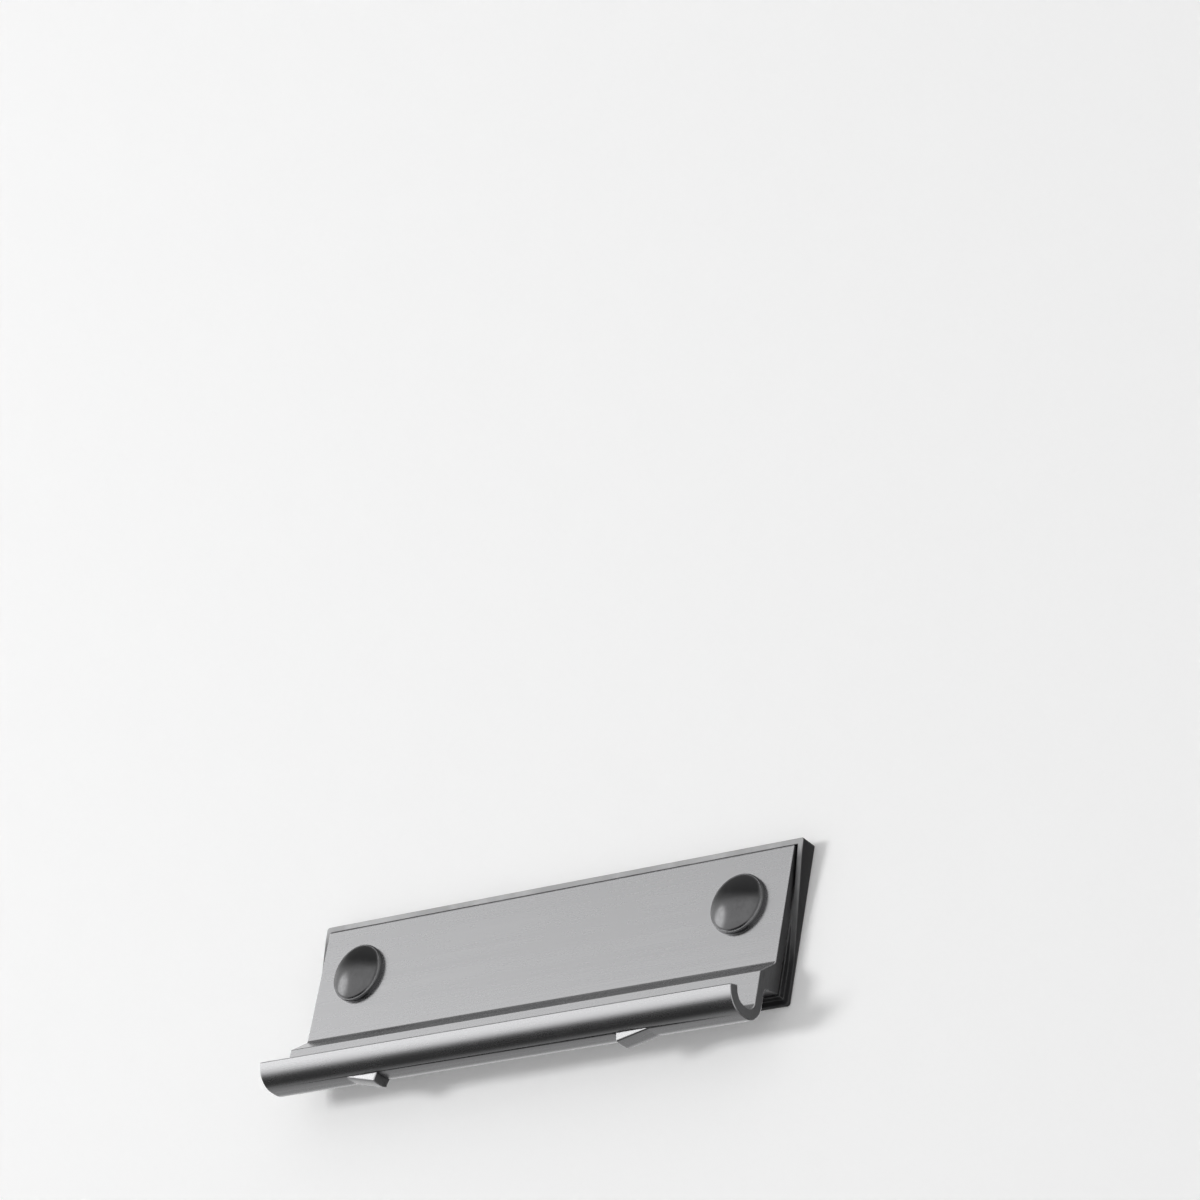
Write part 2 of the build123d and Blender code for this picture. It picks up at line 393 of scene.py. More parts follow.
# The rubber's brighter edges: a painted highlight with a little wear.
wear_and_highlight = math_node(tree, "MULTIPLY", (edges, "Edge"), 0.3, (-600, -120))
final = mix_colours(tree, (wear_and_highlight, 0), (with_painted_sheen, COLOUR), grey(0.5, 0.01), (-200, 250))
moulded_surface(tree, shader, grain, final, roughness=(0.42, 0.56), strength=0.3, distance=0.00004)
print("made", rubber.name)

# %% [markdown]
# ## The fasteners' finishes
# The bolts are dark plated steel, rubbed brighter on the edge of the head, where a painted highlight brightens it
# too. The washers and lock nuts behind the wall
# are zinc plated: paler and faintly mottled, with the same painted highlight on their edges. The nuts' rings are
# natural nylon.

# %% Materials: bolts, washers, nuts and rings
dark_steel = metal_with_lines(
    "dark_plated_steel",
    colour=grey(0.14, 0.003), darker=grey(0.11, 0.002), squeeze=(900, 900, 900),
    roughness=(0.1, 0.2), bump_distance=0.000004, edge_wear_and_highlight_colour=grey(0.5, 0.01), edge_wear_and_highlight_share=0.7,
)
zinc_washer = metal_with_lines(
    "zinc_plated_washer",
    colour=grey(0.6, 0.01), darker=grey(0.46, 0.01), squeeze=(1100, 1100, 1100),
    roughness=(0.26, 0.46), bump_distance=0.00002, edge_wear_and_highlight_colour=grey(0.78, 0.01), edge_wear_and_highlight_share=0.6,
)
zinc_nut = metal_with_lines(
    "zinc_plated_nut",
    colour=grey(0.55, 0.01), darker=grey(0.42, 0.01), squeeze=(700, 2400, 700),
    roughness=(0.24, 0.42), bump_distance=0.00002, edge_wear_and_highlight_colour=grey(0.75, 0.01), edge_wear_and_highlight_share=0.6,
)
nylon, tree, shader = new_material("natural_nylon")
where = object_coordinates(tree)
grain = place_group(tree, grain_group, where, (-600, 0), Grain_scale=3000.0, Patch_scale=600.0)
tint = mix_colours(tree, (grain, "Patches"), (0.78, 0.77, 0.72, 1), (0.7, 0.68, 0.62, 1), (-350, 100))
moulded_surface(tree, shader, grain, tint, roughness=(0.34, 0.5), strength=0.25, distance=0.00003)
print("made", dark_steel.name, zinc_washer.name, zinc_nut.name, nylon.name)

# %% [markdown]
# ## Building meshes from rings
# Almost every piece here is a stack of rings: a profile repeated along X, a section turned round a bolt's axis, or
# the gasket's outline at several depths. So one helper joins rings with quads, and each piece only works out where
# its rings lie. Sizes are in millimetres and become metres when the mesh is made.

# %% Helpers for rings and outlines
arc_step, hidden_arc_step = math.radians(6), math.radians(15)


def add_rings(bm, rings, loop=False):
    """Joins rings of points with quads. Returns the rings as lists of vertices."""
    made = [[bm.verts.new(Vector(point) * MM) for point in ring] for ring in rings]
    pairs = list(zip(made, made[1:])) + ([(made[-1], made[0])] if loop else [])
    for first, second in pairs:
        for i in range(len(first)):
            j = (i + 1) % len(first)
            bm.faces.new((first[i], first[j], second[j], second[i]))
    return made


def add_solid(bm, rings):
    """Joins rings with quads and closes the first and the last ring with a face each."""
    made = add_rings(bm, rings)
    bm.faces.new(made[0])
    bm.faces.new(made[-1])


def rounded(corners, step=arc_step):
    """Points along a closed outline of (point, radius) corners, with an arc at each corner."""
    points = []
    for i, (corner, radius) in enumerate(corners):
        corner = Vector(corner)
        before = (Vector(corners[i - 1][0]) - corner).normalized()
        after = (Vector(corners[(i + 1) % len(corners)][0]) - corner).normalized()
        inside = before.angle(after)
        centre = corner + (before + after).normalized() * radius / math.sin(inside / 2)
        start = corner + before * radius / math.tan(inside / 2) - centre
        sweep = math.pi - inside
        side = 1 if before.cross(after) < 0 else -1
        count = max(2, math.ceil(sweep / step))
        for k in range(count + 1):
            turn = side * sweep * k / count
            points.append(centre + Vector((
                start.x * math.cos(turn) - start.y * math.sin(turn),
                start.x * math.sin(turn) + start.y * math.cos(turn),
            )))
    return points


print("arcs have a point every", round(math.degrees(arc_step)), "degrees or less")

# %% [markdown]
# ## From a mesh to an object
# A mesh becomes an object when it is whole. Holes and windows are cut with exact booleans, and each modifier is
# applied at once, so that the piece's mesh is always what is shown.

# %% Helpers for objects and booleans
def to_object(bm, name, materials):
    """Makes an object of the mesh, with its faces turned outward."""
    bmesh.ops.recalc_face_normals(bm, faces=bm.faces)
    mesh = bpy.data.meshes.new(name)
    bm.to_mesh(mesh)
    bm.free()
    for material in materials:
        mesh.materials.append(material)
    piece = bpy.data.objects.new(name, mesh)
    bpy.context.scene.collection.objects.link(piece)
    return piece


def apply_modifiers(piece):
    """Puts the result of the piece's modifiers in its mesh."""
    bpy.context.view_layer.update()
    graph = bpy.context.evaluated_depsgraph_get()
    result = bpy.data.meshes.new_from_object(piece.evaluated_get(graph), depsgraph=graph)
    piece.modifiers.clear()
    piece.data = result


def combine(piece, tool, operation):
    """Cuts the tool from the piece, or keeps only what they share, and deletes the tool."""
    modifier = piece.modifiers.new(operation, "BOOLEAN")
    modifier.operation = operation
    modifier.solver = "EXACT"
    modifier.object = tool
    apply_modifiers(piece)
    bpy.data.objects.remove(tool)


def tool_of_rings(rings):
    """A closed solid with no material, to cut with."""
    bm = bmesh.new()
    add_solid(bm, rings)
    return to_object(bm, "tool", [])

# %% [markdown]
# ## Small roundings
# No real edge is perfectly sharp, and a tiny rounding catches the light. A bevel rounds the cut edges, and weighted
# normals keep the large flat faces flat, so that only the rounding itself looks curved.

# %% Helpers that soften and measure a piece
rounded_from, creased_from = math.radians(35), math.radians(50)  # angles between two faces


def soften(piece, width=0.0):
    """Rounds the sharp edges by a small width and smooths the rest, with flat faces kept flat."""
    if width:
        bevel = piece.modifiers.new("small roundings", "BEVEL")
        bevel.width = width * MM
        bevel.segments = 2
        bevel.limit_method = "ANGLE"
        bevel.angle_limit = rounded_from
        bevel.use_clamp_overlap = False
        apply_modifiers(piece)
    piece.data.shade_smooth()
    piece.data.set_sharp_from_angle(angle=creased_from)
    weighted = piece.modifiers.new("flat faces stay flat", "WEIGHTED_NORMAL")
    weighted.keep_sharp = True
    weighted.weight = 50  # the neutral value
    apply_modifiers(piece)


def describe(piece):
    """Prints a piece's size and how many triangles it has."""
    size = [round(c, 2) for c in piece.dimensions / MM]
    print(piece.name, "is", size, "mm with", sum(len(p.vertices) - 2 for p in piece.data.polygons), "triangles")


print("edges are rounded from", round(math.degrees(rounded_from)), "degrees")

# %% [markdown]
# ## The gutter's profile
# One outline makes the plate, the foot, the channel and the lip, as one die does on the real part. The CAD solid
# has the same corners, but its arcs are coarse for a mirror-like metal, so the outline is drawn again here with an
# arc point every six degrees. Each corner is a point (y, z) and its radius.

# %% Sizes of the profile
length, thickness = 157.0, 3.0
edge_radius = 0.4
plate_back, plate_top, plate_bottom = -2.7, 14.5, -25.5
plate_front = plate_back - thickness
step_out = 5.3  # how far the inner wall stands in front of the plate
channel_face = plate_front - step_out
inner_wall_back = channel_face + thickness
foot_edge, foot_slope, underside_slope = -22.5, math.radians(40), math.radians(9)
foot_start = foot_edge + step_out * math.tan(foot_slope)
underside_end = plate_bottom - step_out * math.tan(underside_slope)
floor_top = -33.5
floor_bottom = floor_top - thickness
channel_width, lip_height, lean = 6.2, 3.9, math.radians(16)
lip_inner = channel_face - channel_width
lip_top = floor_top + lip_height
lip_inner_top = lip_inner - lip_height * math.tan(lean)
lip_outer = lip_inner - thickness / math.cos(lean) + thickness * math.tan(lean)

profile_corners = [
    ((plate_back, plate_top), edge_radius),
    ((plate_front, plate_top), edge_radius),
    ((plate_front, foot_start), 1.2),
    ((channel_face, foot_edge), edge_radius),
    ((channel_face, floor_top), 2.2),
    ((lip_inner, floor_top), 3.5),
    ((lip_inner_top, lip_top), edge_radius),
    ((lip_inner_top - thickness * math.cos(lean), lip_top - thickness * math.sin(lean)), edge_radius),
    ((lip_outer, floor_bottom), 6.5),
    ((inner_wall_back, floor_bottom), 5.2),
    ((inner_wall_back, underside_end), 1.2),
    ((plate_back, plate_bottom), edge_radius),
]
profile = rounded(profile_corners)
print("the profile has", len(profile), "points")

# %% [markdown]
# ## Tools for the window and the square holes
# A carriage bolt's square neck sits in a square hole, which keeps the bolt from turning. A punch makes it on the real
# plate, and a rounded square cuts it here. A plain box cuts the window round a stop.

# %% Lengths of profile and cutting tools
neck_hole, neck_hole_corner = 6.5, 0.95
tool_excess = 1.0  # how far a tool reaches past what it cuts
SQUARE = ((-1, -1), (1, -1), (1, 1), (-1, 1))


def profile_block(name, start, end):
    """A length of the gutter's profile between two places along X."""
    bm = bmesh.new()
    add_solid(bm, [[(x, p.x, p.y) for p in profile] for x in (start, end)])
    return to_object(bm, name, [extruded_aluminium, sawn_aluminium_with_painted_shade, sheared_aluminium])


def box_tool(low, high):
    """A box between two corners."""
    section = [(low[1], low[2]), (high[1], low[2]), (high[1], high[2]), (low[1], high[2])]
    return tool_of_rings([[(x, y, z) for y, z in section] for x in (low[0], high[0])])


def square_outline(x, half, radius):
    """A square with rounded corners round a bolt's axis, as points of x and z."""
    return rounded([((x + a * half, b * half), radius) for a, b in SQUARE], hidden_arc_step)


def square_hole_tool(x):
    """A punch for the square hole of the bolt at x."""
    outline = square_outline(x, neck_hole / 2, neck_hole_corner)
    ends = (plate_front - tool_excess, plate_back + tool_excess)
    return tool_of_rings([[(p.x, y, p.y) for p in outline] for y in ends])


print("square hole:", neck_hole, "mm with corners of", neck_hole_corner, "mm")

# %% [markdown]
# ## The bracket, its holes and its stops
# A stop is a strip of the channel's floor that was sheared on three sides and pressed down. It could be a separate
# wedge laid under the floor, but then it would not show the floor's curve. Here the strip is the same profile inside
# the window's box, turned about its root, so the curve, the open window and the slanting side come out by themselves.

# %% The bracket
bolt_offset = 64.0
stop_root, stop_length, stop_width, stop_drop = 50.0, 10.5, 5.3, 2.3
clearance = 0.02  # keeps the window just clear of the inner wall's face
strip_excess = 5.0

bracket = profile_block("gutter_profile", -length / 2, length / 2)
strips = []
for side in (-1, 1):
    start, end = sorted((side * stop_root, side * (stop_root - stop_length)))
    low = (start, channel_face - stop_width, floor_bottom - thickness)
    high = (end, channel_face - clearance, floor_top + thickness)
    strip = profile_block("strip", start - strip_excess, end + strip_excess)
    combine(strip, box_tool(low, high), "INTERSECT")
    hinge = Vector((side * stop_root, 0, floor_top)) * MM
    turn = Matrix.Rotation(-math.asin(stop_drop / stop_length) * side, 4, "Y")
    strip.data.transform(Matrix.Translation(hinge) @ turn @ Matrix.Translation(-hinge))
    strips.append(strip)
    combine(bracket, box_tool(low, high), "DIFFERENCE")
    combine(bracket, square_hole_tool(side * bolt_offset), "DIFFERENCE")
describe(bracket)

# %% [markdown]
# ## Joining the stops and softening the cut edges
# The strips join the bracket as shells of one mesh, which is how the real stops still hang on the floor. A small
# bevel then rounds every cut edge. The faces are sorted into sawn ends, sheared sides and drawn skin by where they
# lie and which way they look; the stops' cut faces that look along X get the darker sawn finish as painted shade.

# %% Join the stops and sort the faces
joined = bmesh.new()
joined.from_mesh(bracket.data)
for strip in strips:
    joined.from_mesh(strip.data)
    bpy.data.objects.remove(strip)
joined.to_mesh(bracket.data)
joined.free()
soften(bracket, 0.3)

SKIN, SAWN_AND_SHADED, SHEARED = 0, 1, 2
square_to_x, square_to_y = 0.9, 0.95  # how squarely a face has to look along an axis
stop_from, stop_to, stop_top = stop_root - stop_length - 0.4, stop_root + 0.2, floor_top + 2.5
counts = [0, 0, 0]
for face in bracket.data.polygons:
    x, y, z = face.center / MM
    in_stop = stop_from < abs(x) < stop_to and z < stop_top
    # The profile's sawn ends, and the stops' cut faces along X, whose darker sawn finish there is painted shade.
    if abs(face.normal.x) > square_to_x and (abs(x) > length / 2 - 0.02 or in_stop):
        face.material_index = SAWN_AND_SHADED
    elif in_stop and abs(face.normal.y) > square_to_y and y > channel_face - stop_width - 0.2:
        face.material_index = SHEARED
    else:
        face.material_index = SKIN
    counts[face.material_index] += 1
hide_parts("gutter_bracket")
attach(bracket, "root")
describe(bracket)
print("faces of skin, sawn and sheared metal:", counts)

# %% [markdown]
# ## The rubber gasket's outline
# The gasket is one moulding: a pad under the plate, and round it a flange that rises into a rim at the top. The rim's
# height depends only on how high a point lies, so one function of z gives the front of every point of the outline.
# The sides are split into short steps, so that the rim can slope along them.

# %% The gasket's sizes and outline
pad_thickness, flange_thickness, rim_height, rim_run = 2.7, 1.1, 4.9, 31.0
border, outer_corner, smallest_corner, corner_steps = 2.2, 0.8, 0.05, 4
gasket_low = (-length / 2 - border, plate_bottom - border)
gasket_high = (length / 2 + border, plate_top + border)
side_splits = (54, 15, 54, 15)


def rim_front(z):
    """The y of the flange's or the rim's front at a height."""
    rise = min(1.0, max(0.0, (z - (plate_top - rim_run)) / rim_run))
    return -(flange_thickness + (rim_height - flange_thickness) * rise)


def gasket_outline(inset):
    """The gasket's outline moved inward: a rectangle with rounded corners and split sides."""
    radius = max(outer_corner - inset, smallest_corner)
    low = [c + inset for c in gasket_low]
    high = [c - inset for c in gasket_high]
    corners = [Vector(c) for c in ((low[0], low[1]), (high[0], low[1]), (high[0], high[1]), (low[0], high[1]))]
    outline = []
    for i, corner in enumerate(corners):
        following = corners[(i + 1) % 4]
        onward = (following - corner).normalized()
        backward = (corners[i - 1] - corner).normalized()
        centre = corner + (onward + backward) * radius
        for k in range(corner_steps + 1):
            turn = math.pi / 2 * k / corner_steps
            outline.append(centre - onward * radius * math.cos(turn) - backward * radius * math.sin(turn))
        start, end = corner + onward * radius, following - onward * radius
        outline += [start.lerp(end, k / side_splits[i]) for k in range(1, side_splits[i])]
    return outline


def gasket_ring(inset, depth):
    """One ring. The depth is a function of the ring's height z and gives y."""
    return [(p.x, depth(p.y), p.y) for p in gasket_outline(inset)]


print("the gasket's outline has", len(gasket_outline(0.0)), "points")

# %% [markdown]
# ## The rubber gasket
# Rings of that outline, each a little further in, make the wall, its rounded edge, the front and the step to the pad.
# Two round holes let the bolts through. A bevel would pinch where the rim meets the pad's level, so the roundings
# are rings as well.

# %% The gasket
rounding, inner_rounding, back_rounding, rounding_steps = 0.35, 0.2, 0.2, 4
rim_gap = 0.45
rim_width = border - rim_gap
pad_hole_radius, pad_hole_segments = 4.8, 48


def inner_step(z):
    """Just inside the front: down towards the pad where the rim stands above it, and up where it lies below."""
    return rim_front(z) + max(-inner_rounding, min(inner_rounding, -pad_thickness - rim_front(z)))


def round_hole_tool(x):
    """A punch for the gasket's hole round the bolt at x."""
    turns = [2 * math.pi * k / pad_hole_segments for k in range(pad_hole_segments)]
    circle = [(x + pad_hole_radius * math.cos(a), pad_hole_radius * math.sin(a)) for a in turns]
    ends = (-pad_thickness - tool_excess, tool_excess)
    return tool_of_rings([[(across, y, z) for across, z in circle] for y in ends])


gasket_rings = [gasket_ring(back_rounding, lambda z: 0.0), gasket_ring(0.0, lambda z: -back_rounding)]
for k in range(rounding_steps + 1):
    turn = math.pi / 2 * k / rounding_steps
    drop = rounding * (1 - math.sin(turn))
    gasket_rings.append(gasket_ring(rounding * (1 - math.cos(turn)), lambda z, drop=drop: rim_front(z) + drop))
gasket_rings.append(gasket_ring(rim_width - inner_rounding, rim_front))
gasket_rings.append(gasket_ring(rim_width, inner_step))
gasket_rings.append(gasket_ring(rim_width, lambda z: -pad_thickness))

bm = bmesh.new()
add_solid(bm, gasket_rings)
gasket = to_object(bm, "moulded_gasket", [rubber])
for side in (-1, 1):
    combine(gasket, round_hole_tool(side * bolt_offset), "DIFFERENCE")
soften(gasket)
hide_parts("rubber_gasket")
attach(gasket, "root")
describe(gasket)

# %% [markdown]
# ## The bolts' heads
# A carriage bolt has a shallow dome on a thin rim. The dome is part of a sphere, so its section follows from its
# width and its rise, and a groove and a bead run round its edge.

# %% The head's section
head_radius, dome_edge, head_height, dome_rise = 8.25, 7.6, 3.35, 1.8
dome_top = plate_front - head_height
dome_sphere = (dome_edge**2 + dome_rise**2) / (2 * dome_rise)
dome_radii = (0.25, 0.8, 1.6, 2.4, 3.2, 4.0, 4.8, 5.5, 6.1, 6.6, 7.1, dome_edge - 0.12)
groove_and_bead = (
    (-0.02, 0.03), (0.05, 0.1), (0.1, 0.2), (0.17, 0.24), (0.26, 0.21), (0.38, 0.22), (0.5, 0.32), (0.6, 0.5),
)


def dome_y(radius):
    """The y of the dome's sphere at a distance from the bolt's axis."""
    return dome_top + dome_sphere - math.sqrt(dome_sphere**2 - radius**2)


edge_y = dome_y(dome_edge)
head_section = [(r, dome_y(r)) for r in dome_radii]
head_section += [(dome_edge + outward, edge_y + drop) for outward, drop in groove_and_bead]
head_section += [
    (head_radius, edge_y + 0.8),
    (head_radius, plate_front - 0.12),
    (head_radius - 0.1, plate_front),
    (2.8, plate_front),  # closed inside the neck
]
print("the head's section has", len(head_section), "points")

# %% [markdown]
# ## Turning a section round a bolt's axis
# Heads, threads, washers and nuts are turned parts. The Screw modifier could spin a section, but rings let the
# radius change with the angle, which a thread and a hexagon need.

# %% Helpers that turn a section
def turned_rings(section, x, segments):
    """Rings round a bolt's axis. A section point is (radius, y), and both may be functions of the angle."""
    turns = [2 * math.pi * k / segments for k in range(segments)]
    rings = []
    for radius, y in section:
        ring = []
        for a in turns:
            r = radius(a) if callable(radius) else radius
            ring.append((x + r * math.cos(a), y(a) if callable(y) else y, r * math.sin(a)))
        rings.append(ring)
    return rings


def closed_turning(bm, section, x, segments, loop=False):
    """Adds a turned solid: a loop has a hole through it, and any other section is closed at both ends."""
    rings = turned_rings(section, x, segments)
    if loop:
        add_rings(bm, rings, loop)
    else:
        add_solid(bm, rings)

# %% [markdown]
# ## The bolts' threads and necks
# The thread runs up to the square neck. It could be a spiral modifier, but a grid whose radius follows the turn and
# the height gives clean faces, a run-out at the neck and a chamfered tip from one formula.

# %% The carriage bolts
neck_half, neck_corner, neck_end, neck_overlap = 3.1, 0.8, -2.1, 0.2
crest, root, pitch = 2.98, 2.42, 1.0
flank_slope, root_flat = 1.25, 0.06
thread_start, bolt_tip, tip_chamfer, chamfer_slope = -2.4, 14.3, 0.6, 1.05
row_height = 0.1
rows = round((bolt_tip - thread_start) / row_height)


def thread_radius(y):
    """The thread's radius at y, as a function of the angle."""
    def radius(angle):
        phase = ((y - thread_start) / pitch + angle / (2 * math.pi)) % 1.0
        ridge = min(1.0, max(0.0, flank_slope * (1 - abs(phase - 0.5) * 2) - root_flat))
        run_out = min(1.0, max(0.0, (y - thread_start) / pitch))
        tip_limit = crest - max(0.0, y - (bolt_tip - tip_chamfer)) * chamfer_slope
        return min(root + (crest - root) * ridge * run_out, tip_limit)
    return radius


row_places = [thread_start + (bolt_tip - thread_start) * k / rows for k in range(rows + 1)]
thread = [(thread_radius(y), y) for y in row_places]
bm = bmesh.new()
for side in (-1, 1):
    x = side * bolt_offset
    closed_turning(bm, head_section, x, 72)
    outline = square_outline(x, neck_half, neck_corner)
    add_solid(bm, [[(p.x, y, p.y) for p in outline] for y in (plate_front - neck_overlap, neck_end)])
    closed_turning(bm, thread, x, 36)
bolts = to_object(bm, "domed_bolts", [dark_steel])
soften(bolts)
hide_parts("carriage_bolts")
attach(bolts, "root")
describe(bolts)

# %% [markdown]
# ## Washers, lock nuts and nylon rings
# These sit behind the wall and show from the back. A punched washer has one side with rolled edges. A lock nut is a
# hexagon whose corners are cut by a cone, which leaves the curved edges that a boolean with a cone would also give:
# here the radius follows the hexagon, and the edge moves in where the cone cuts it. The collar holds a nylon ring.

# %% Sections of washers, nuts and rings
washer_hole, washer_radius, washer_start, washer_end = 3.2, 9.0, 5.0, 6.6
nut_bore, flat_radius, seat_radius, corner_radius, nut_end = 3.05, 5.0, 4.825, 5.7, 11.0
collar_radius, collar_end, seat_bore, seat_floor = 4.5, 12.8, 3.88, 11.3
ring_inner, ring_outer, ring_start = 3.06, 3.86, 11.35
cone_slope = 0.8


def hexagon(angle):
    """Distance from the nut's axis to its side, with the corners cut by the turned blank."""
    return min(corner_radius, flat_radius / math.cos(angle % (math.pi / 3) - math.pi / 6))


def cone_cut(angle):
    """How far the cone has moved the hexagon's edge in."""
    return cone_slope * (hexagon(angle) - seat_radius)


washer_section = [
    (washer_hole, washer_start + 0.1), (washer_hole + 0.1, washer_start),
    (washer_radius - 0.1, washer_start), (washer_radius, washer_start + 0.1), (washer_radius, washer_end - 0.4),
    (8.94, 6.4), (8.8, 6.53), (8.55, washer_end),
    (3.5, washer_end), (3.3, 6.5), (washer_hole, 6.3),
]
nut_section = [
    (nut_bore, washer_end + 0.4), (3.4, washer_end), (seat_radius, washer_end),
    (hexagon, lambda a: washer_end + cone_cut(a)), (hexagon, lambda a: nut_end - cone_cut(a)),
    (seat_radius, nut_end), (4.62, nut_end + 0.02), (collar_radius, nut_end + 0.14),
    (collar_radius, 12.3), (4.44, 12.55), (4.28, 12.73), (4.05, collar_end), (3.9, 12.74), (seat_bore, 12.6),
    (seat_bore, seat_floor), (nut_bore, seat_floor),
]
ring_section = [
    (ring_inner, ring_start), (ring_outer, ring_start), (ring_outer, 12.35), (3.76, 12.52), (3.55, 12.62),
    (3.3, 12.6), (3.12, 12.5), (ring_inner, 12.3),
]
print("the nut is", 2 * flat_radius, "mm across its flats")

# %% [markdown]
# ## Turning the pairs
# Each of these pieces comes twice, once on each bolt. Both are one object, because they are one node of the frame.

# %% Washers, nuts and rings
def paired_turning(name, section, segments, material, node):
    """Turns a section round both bolts and puts it in the place of its node."""
    bm = bmesh.new()
    for side in (-1, 1):
        closed_turning(bm, section, side * bolt_offset, segments, loop=True)
    piece = to_object(bm, name, [material])
    soften(piece)
    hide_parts(node)
    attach(piece, "root")
    describe(piece)


paired_turning("punched_washers", washer_section, 72, zinc_washer, "washers")
paired_turning("collared_nuts", nut_section, 72, zinc_nut, "lock_nuts")
paired_turning("nylon_rings", ring_section, 48, nylon, "nut_inserts")

# %% [markdown]
# ## The studio's paint
# The wall and the floor have a plain pale paint. More light would whiten them and bleach the gutter too, so a
# little emission lifts them instead, only for the camera and for what mirrors and glass show. The wall's back is
# clear to the camera, so that the fasteners can be seen from behind.

# %% Materials: wall and floor
wall_tone, wall_lift = 0.88, 0.15
floor_tone, floor_lift = 0.8, 0.35


def pale_paint(name, tone, lift):
    """A plain pale paint. The lift shows to the camera and in mirrors and glass, and lights nothing."""
    material, tree, shader = new_material(name)
    shader.inputs["Base Color"].default_value = grey(tone)
    shader.inputs["Roughness"].default_value = 0.7
    shader.inputs["Specular IOR Level"].default_value = 0.1
    shader.inputs["Emission Color"].default_value = grey(1)
    ray = add_node(tree, "LightPath", (-700, 200))
    shown = math_node(tree, "ADD", (ray, "Is Camera Ray"), (ray, "Is Glossy Ray"), (-500, 200))
    shown = math_node(tree, "ADD", (shown, 0), (ray, "Is Transmission Ray"), (-350, 200), clamp=True)
    lifted = math_node(tree, "MULTIPLY", (shown, 0), lift, (-200, 200))
    join(tree, lifted, 0, shader, "Emission Strength")
    return material, tree, shader, ray


wall_paint, tree, shader, ray = pale_paint("pale_wall", wall_tone, wall_lift)
clear = add_node(tree, "BsdfTransparent", (0, -400))
side_seen = add_node(tree, "NewGeometry", (-400, 400))
see_through = math_node(tree, "MULTIPLY", (side_seen, "Backfacing"), (ray, "Is Camera Ray"), (-200, 400))
switch = add_node(tree, "MixShader", (250, 100))
join(tree, see_through, 0, switch, "Fac")
join(tree, shader, 0, switch, 1)
join(tree, clear, 0, switch, 2)
join(tree, switch, 0, tree.nodes["Material Output"], "Surface")
floor_paint = pale_paint("pale_floor", floor_tone, floor_lift)[0]
print("made", wall_paint.name, "and", floor_paint.name)

# %% [markdown]
# ## The wall and the floor
# The gutter hangs on a pale wall over a pale floor. The wall has an opening behind the gasket, smaller than it, for
# the bolts. Neither shows in the metal, which mirrors the studio of the last cells instead.

# %% Wall and floor, in metres
hole_x, hole_low, hole_high = 0.0795, -0.0265, 0.0155
wall_x, wall_low, wall_high, wall_y = 0.9, -0.62, 0.75, 0.0001
floor_half = 4


def stage_mesh(name, quads, material):
    """A flat mesh of loose quads that glossy rays don't see."""
    bm = bmesh.new()
    for quad in quads:
        bm.faces.new([bm.verts.new(Vector(p)) for p in quad])
    mesh = bpy.data.meshes.new(name)
    bm.to_mesh(mesh)
    bm.free()
    mesh.materials.append(material)
    thing = bpy.data.objects.new(name, mesh)
    bpy.context.scene.collection.objects.link(thing)
    thing.visible_glossy = False


def wall_quad(x0, x1, z0, z1):
    """One upright rectangle of the wall."""
    return [(x0, wall_y, z0), (x1, wall_y, z0), (x1, wall_y, z1), (x0, wall_y, z1)]


stage_mesh("wall", [
    wall_quad(-wall_x, wall_x, wall_low, hole_low),
    wall_quad(-wall_x, wall_x, hole_high, wall_high),
    wall_quad(-wall_x, -hole_x, hole_low, hole_high),
    wall_quad(hole_x, wall_x, hole_low, hole_high),
], wall_paint)
stage_mesh("floor", [[(a * floor_half, b * floor_half, wall_low) for a, b in SQUARE]], floor_paint)
print("the floor lies", -wall_low, "m below the bolts")

# %% [markdown]
# ## Lamps
# A large soft key from the left, a little below the gutter, throws the short shadow to the right of the gasket and
# hides the channel's own shadow behind it. It could also show in the metal, but the flat plate would mirror it as a
# white patch, so glossy rays don't see it. A second lamp stands behind the wall for the fasteners.

# %% Lamps
def softbox(name, toward, distance, width, height, radiance, glossy=True):
    """A rectangular lamp that faces the gutter. Its power follows from the brightness that it shows."""
    data = bpy.data.lights.new(name, "AREA")
    data.shape = "RECTANGLE"
    data.size, data.size_y = width, height
    data.energy = radiance * math.pi * width * height
    lamp = bpy.data.objects.new(name, data)
    direction = Vector(toward).normalized()
    lamp.location = direction * distance
    lamp.rotation_euler = direction.to_track_quat("Z", "Y").to_euler()
    lamp.visible_camera = False
    lamp.visible_glossy = glossy
    bpy.context.scene.collection.objects.link(lamp)
    print(name, "lamp:", round(data.energy, 2), "W")


softbox("key", (-0.6, -0.78, -0.15), 3.0, 0.9, 0.9, 21.5, glossy=False)
softbox("rear", (0.2, 0.9, 0.4), 1.4, 1.0, 0.8, 0.7)

# %% [markdown]
# ## What the metal mirrors in front
# Bright metal shows its surroundings more than itself. The photograph's studio is pale in front and black below the
# gutter, which draws the dark band along the lip. Cards of these tones could stand round the gutter, but a world
# that rays off a glossy surface see by their direction gives the same soft steps. A window far to the left puts the
# soft light on the bolts' domes.

# %% World: the front and the window
front_by_height = (
    (0.17, 0.035), (0.23, 0.1), (0.28, 0.5), (0.33, 0.95), (0.45, 1.08), (0.65, 1.02), (0.7, 0.82), (0.75, 0.36),
    (0.8, 0.16), (1.0, 0.3),
)  # a place from straight down to straight up, and its tone
window_direction, window_edge, window_core, window_tone = (-0.87, -0.48, 0.1), 0.955, 0.992, 3.0

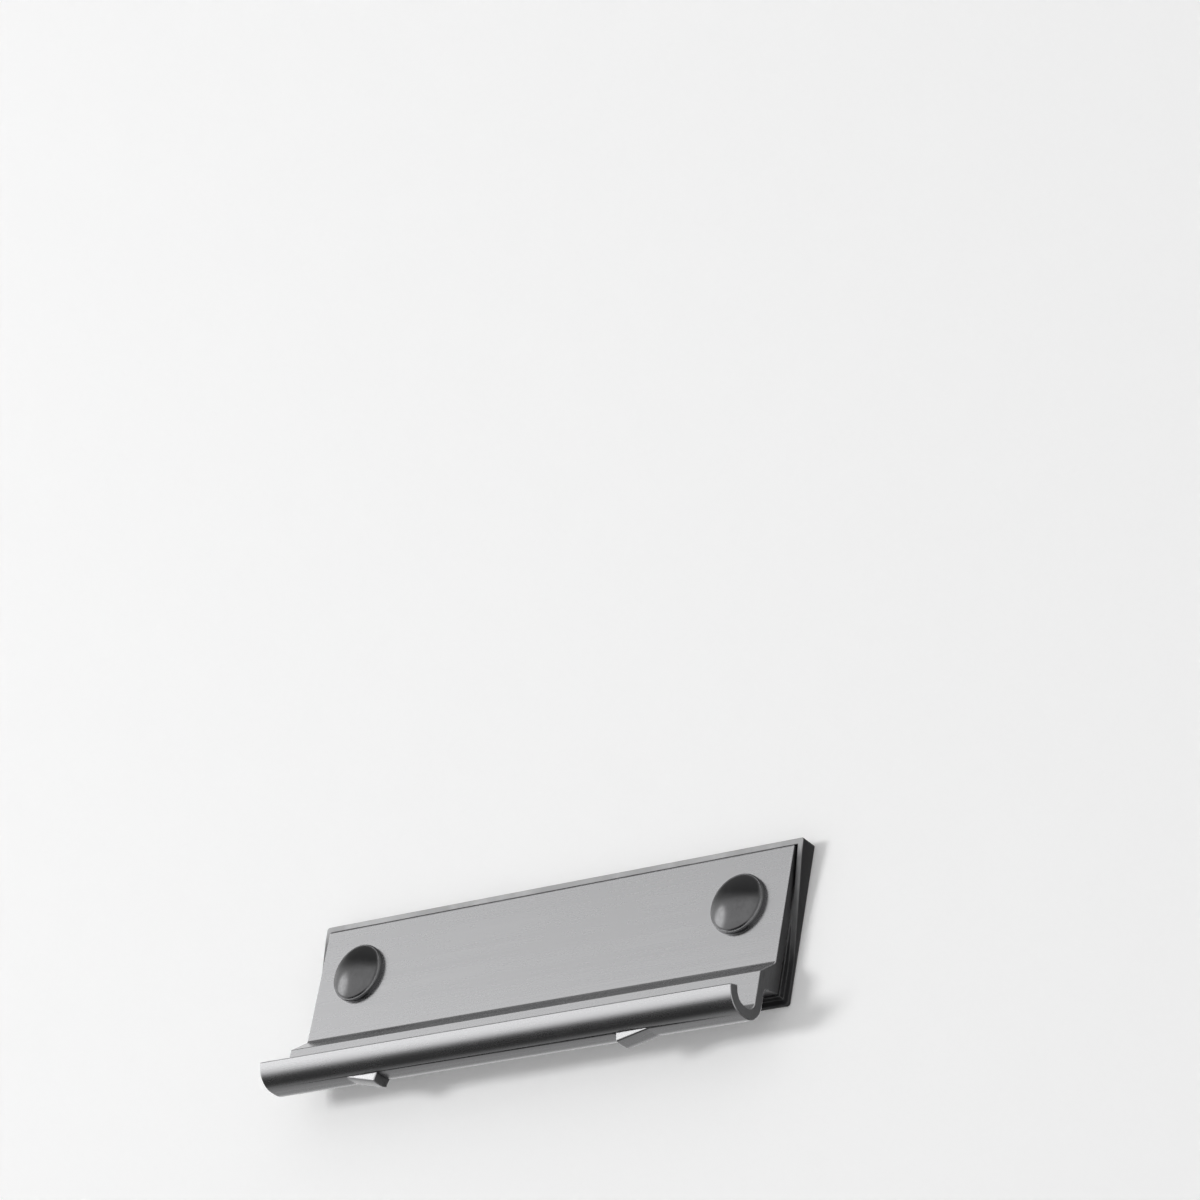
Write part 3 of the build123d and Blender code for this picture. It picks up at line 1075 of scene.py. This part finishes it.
world = bpy.data.worlds.new("studio")
bpy.context.scene.world = world
world.use_nodes = True
tree = world.node_tree
direction = add_node(tree, "TexCoord", (-1200, 0))
parts = add_node(tree, "SeparateXYZ", (-1000, 0))
join(tree, direction, "Generated", parts, 0)
level = rescale(tree, (parts, "Z"), (-1.0, 1.0), place=(-800, 100), smooth=False)
front = tone_ramp(tree, (level, 0), front_by_height, (-600, 100))
beside = rescale(tree, (parts, "X"), (0.0, 0.4), place=(-800, -50))
lit_front = mix_colours(tree, (beside, 0), (front, 0), grey(0.65), (-300, 100))
toward_window = add_node(tree, "VectorMath", (-1000, 400), operation="DOT_PRODUCT")
join(tree, direction, "Generated", toward_window, 0)
toward_window.inputs[1].default_value = window_direction
window = rescale(tree, (toward_window, "Value"), (window_edge, window_core), place=(-800, 400))
with_window = mix_colours(tree, (window, 0), (lit_front, COLOUR), grey(window_tone), (-250, 300))
print("front tones at", len(front_by_height), "heights")

# %% [markdown]
# ## What it mirrors behind, and what other rays see
# The studio is dim behind the gutter, which keeps the sawn ends grey. Only rays off a glossy surface see these
# tones. The world's even grey lights the rest, and the camera sees a paler one past the wall.

# %% World: behind the gutter, and the other rays
even_tone, camera_tone = 0.5, 0.85

low_behind = rescale(tree, (parts, "Z"), (-0.4, 0.2), (0.3, 0.85), (-800, -350))
left_behind = rescale(tree, (parts, "X"), (-0.35, 0.25), (1.0, 0.0), (-800, -550))
dim_behind = mix_colours(tree, (left_behind, 0), grey(0.1), (low_behind, 0), (-500, -350))
behind = rescale(tree, (parts, "Y"), (0.0, 0.45), place=(-800, -150))
mirrored = mix_colours(tree, (behind, 0), (with_window, COLOUR), (dim_behind, COLOUR), (-200, 0))
ray = add_node(tree, "LightPath", (-500, 400))
straight = math_node(tree, "ADD", (ray, "Is Camera Ray"), (ray, "Is Transmission Ray"), (-400, 550), clamp=True)
plain = mix_colours(tree, (straight, 0), grey(even_tone), grey(camera_tone), (-250, 500))
seen = mix_colours(tree, (ray, "Is Glossy Ray"), (plain, COLOUR), (mirrored, COLOUR), (-100, 100))
join(tree, seen, COLOUR, tree.nodes["Background"], "Color")
bpy.context.scene.view_settings.view_transform = "Standard"
print("world:", len(tree.nodes), "nodes")
